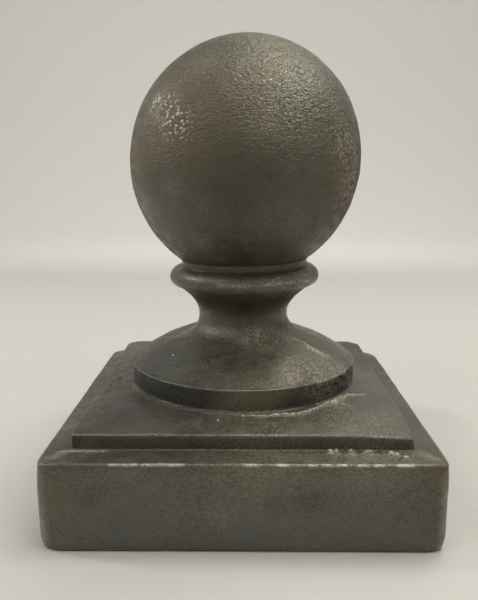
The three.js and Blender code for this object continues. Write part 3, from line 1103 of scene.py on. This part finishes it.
def ironMaterial(name, f):
    material = bpy.data.materials.new(name)
    material.use_nodes = True
    tree = material.node_tree
    shader = tree.nodes["Principled BSDF"]
    place = tree.nodes.new("ShaderNodeTexCoord").outputs["Object"]
    leather = remap(tree, attribute(tree, "leather"), 0.0, 1.0)
    sand = remap(tree, attribute(tree, "sand"), 0.0, 1.0, f["sandLow"], f["sandHigh"])
    grain = useGroup(tree, castGrain, {"Vector": place, "Grains": f["grains"], "Leather": leather,
                                       "Sand": sand})
    cast = useGroup(tree, patina, {"Vector": place})
    wear = useGroup(tree, edgeWear, {"Vector": place, "Edge": attribute(tree, "wornEdge"),
                                     "Amount": f["wear"]})

    cloud, mottle, fine = (times(tree, cast[layer], share) for layer, share in mottleShares.items())
    colour = mixColour(tree, plus(tree, plus(tree, cloud, mottle), fine), f["iron"], f["greyIron"])
    amounts = {}
    # the tints lay painted shade and painted highlights as well as stains, rust and blotches
    for tint, (layer, low, high, atLow, atHigh) in tintBreaks.items():
        broken = remap(tree, cast[layer], low, high, atLow, atHigh)
        amounts[tint] = times(tree, attribute(tree, tint), broken)
        colour = mixColour(tree, amounts[tint], colour, f[tint])
    colour = mixColour(tree, times(tree, grain["Pits"], f["pitGrime"]), colour, f["shadeAndStain"])
    rubbed = wear["Wear"]
    scarAndHighlightAmount = times(tree, attribute(tree, "scarAndHighlight"), remap(tree, cast["Fine"], *scarBreak))
    # painted glints and painted sparkle, with real dust specks, are mixed towards one light colour
    glints = times(tree, attribute(tree, "glint"), cast["Glint"])
    gritAndSparkle = times(tree, times(tree, attribute(tree, "gritAndSparkle"), cast["Sparkle"]), f["sparkleShare"])
    bright = maths(tree, "MAXIMUM", maths(tree, "MAXIMUM", glints, gritAndSparkle), dustDots(tree, place, dustSpecks))
    colour = mixColour(tree, rubbed, colour, f["rubbed"])
    colour = mixColour(tree, scarAndHighlightAmount, colour, f["scarAndHighlight"])
    colour = mixColour(tree, bright, colour, f["dustAndGlint"])
    tree.links.new(colour, shader.inputs["Base Color"])

    rough = remap(tree, cast["Mottle"], 0.0, 1.0, f["roughLow"], f["roughHigh"])
    rough = maths(tree, "SUBTRACT", rough, times(tree, rubbed, f["rubbedSmooth"]))
    stainedAndShaded = maths(tree, "MAXIMUM", amounts["shadeAndStain"], amounts["brown"])
    rough = plus(tree, rough, times(tree, stainedAndShaded, f["tintRough"]))
    tree.links.new(rough, shader.inputs["Roughness"])
    shader.inputs["Metallic"].default_value = f["metallic"]
    shader.inputs["Specular IOR Level"].default_value = f["specular"]
    bump = addNode(tree, "ShaderNodeBump", {"Height": grain["Height"], "Distance": f["bumpDepth"],
                                            "Strength": 1.0})
    tree.links.new(bump.outputs["Normal"], shader.inputs["Normal"])
    return material


def hollowFaces(piece):
    inside = readLayer(piece, "hollow")
    return [int(min(inside[v] for v in face.vertices) > 0.5) for face in piece.data.polygons]


cap.data.materials.append(ironMaterial("castIronSkin", ironOutside))
cap.data.materials.append(ironMaterial("castIronCore", ironInside))
cap.data.polygons.foreach_set("material_index", hollowFaces(cap))
cap.data.update()

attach(cap, "root")
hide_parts("ball_post_cap")
print("materials laid")


# Stage: a pale sweep all round, soft lamps and the camera

stage = {
    "flatRadius": 0.8,
    "turnUp": 0.7,
    "wallTop": 1.6,
    "sides": 96,
    "bendSteps": 12,
    "colour": (0.62, 0.61, 0.59, 1),
    "worldColour": (0.80, 0.82, 0.85, 1),
    "worldStrength": 0.04,
    "roughness": 0.8,
}

lamps = {
    # turn from -Y towards +X and height above the level, in degrees, then size, power and colour
    "topLamp": (0, 90, 0.36, 1.2, (1.0, 0.98, 0.93)),
    "highRightLamp": (90, 66, 0.36, 1.5, (1.0, 0.965, 0.86)),
    "highBackLamp": (135, 66, 0.36, 1.95, (1.0, 0.965, 0.86)),
    "highFrontLamp": (30, 66, 0.36, 0.65, (1.0, 0.97, 0.89)),
    "rightBackLamp": (135, 42, 0.36, 0.5, (1.0, 0.97, 0.89)),
    "rightLamp": (90, 42, 0.36, 0.75, (1.0, 0.97, 0.89)),
    "rightFrontLamp": (45, 42, 0.36, 0.75, (1.0, 0.97, 0.90)),
    "leftFrontLamp": (315, 42, 0.36, 1.2, (1.0, 0.98, 0.94)),
    "leftLamp": (270, 42, 0.36, 0.5, (0.98, 0.99, 1.0)),
    "sparkLamp": (261, 33, 0.08, 1.4, (1.0, 0.98, 0.95)),
    "lowLeftLamp": (255, 18, 0.36, 0.35, (1.0, 0.96, 0.90)),
}
lampDistance = 0.9
lampTarget = Vector((0, 0, 0.1))
backdropLamp = {"place": (0.0, 0.55, 0.75), "lean": 80, "size": 1.1, "power": 5.5,
                "colour": (1.0, 0.99, 0.97)}

photo = {
    "height": 600,
    "focal": 646.8,  # in pixels
    "place": (0.0004, -0.2229, 0.1068),
    "tilt": math.radians(11.54),
    "turn": math.radians(0.47),
    "nearest": 0.01,
}


def makeStage(s):
    bpy.ops.object.select_all(action="DESELECT")
    bpy.ops.mesh.primitive_circle_add(vertices=s["sides"], radius=s["flatRadius"], fill_type="NGON")
    floor = bpy.context.object
    floor.name = "paleFloor"
    editAll()
    bend = s["turnUp"]
    last = (s["flatRadius"], 0.0)
    for step in range(1, s["bendSteps"] + 1):
        a = math.radians(90 * step / s["bendSteps"])
        radius = s["flatRadius"] + bend * math.sin(a)
        height = bend * (1 - math.cos(a))
        bpy.ops.mesh.extrude_region_move(TRANSFORM_OT_translate={"value": (0, 0, height - last[1])})
        grow = radius / last[0]
        bpy.ops.transform.resize(value=(grow, grow, 1))
        last = (radius, height)
    bpy.ops.mesh.extrude_region_move(TRANSFORM_OT_translate={"value": (0, 0, s["wallTop"] - last[1])})
    leaveEditing()
    bpy.ops.object.shade_smooth()
    material = bpy.data.materials.new("paleSweep")
    material.use_nodes = True
    shader = material.node_tree.nodes["Principled BSDF"]
    shader.inputs["Base Color"].default_value = s["colour"]
    shader.inputs["Roughness"].default_value = s["roughness"]
    floor.data.materials.append(material)
    world = bpy.data.worlds.new("softWorld")
    bpy.context.scene.world = world
    world.use_nodes = True
    world.node_tree.nodes["Background"].inputs["Color"].default_value = s["worldColour"]
    world.node_tree.nodes["Background"].inputs["Strength"].default_value = s["worldStrength"]


def addLamp(name, size, power, colour):
    data = bpy.data.lights.new(name, "AREA")
    data.shape = "DISK"
    data.size, data.energy, data.color = size, power, colour
    lamp = bpy.data.objects.new(name, data)
    bpy.context.collection.objects.link(lamp)
    return lamp


def makeLamp(name, turn, height, size, power, colour):
    turn, height = math.radians(turn), math.radians(height)
    out = math.cos(height)
    towards = Vector((math.sin(turn) * out, -math.cos(turn) * out, math.sin(height)))
    lamp = addLamp(name, size, power, colour)
    lamp.location = lampTarget + towards * lampDistance
    lamp.rotation_euler = towards.to_track_quat("Z", "Y").to_euler()


def lightBackdrop(values):
    # faces away from the cap, so that it only lifts the sweep behind it
    lamp = addLamp("backdropLamp", values["size"], values["power"], values["colour"])
    lamp.location = values["place"]
    lamp.rotation_euler = (math.radians(values["lean"]), 0, 0)


def makeCamera(p):
    data = bpy.data.cameras.new("photoCamera")
    camera = bpy.data.objects.new("photoCamera", data)
    bpy.context.collection.objects.link(camera)
    data.lens = p["focal"] / p["height"] * data.sensor_width
    data.clip_start = p["nearest"]
    camera.location = p["place"]
    camera.rotation_euler = (math.pi / 2 - p["tilt"], 0, p["turn"])
    bpy.context.scene.camera = camera


makeStage(stage)
for name, values in lamps.items():
    makeLamp(name, *values)
lightBackdrop(backdropLamp)
makeCamera(photo)
bpy.context.scene.view_settings.view_transform = "Standard"
print("stage set")
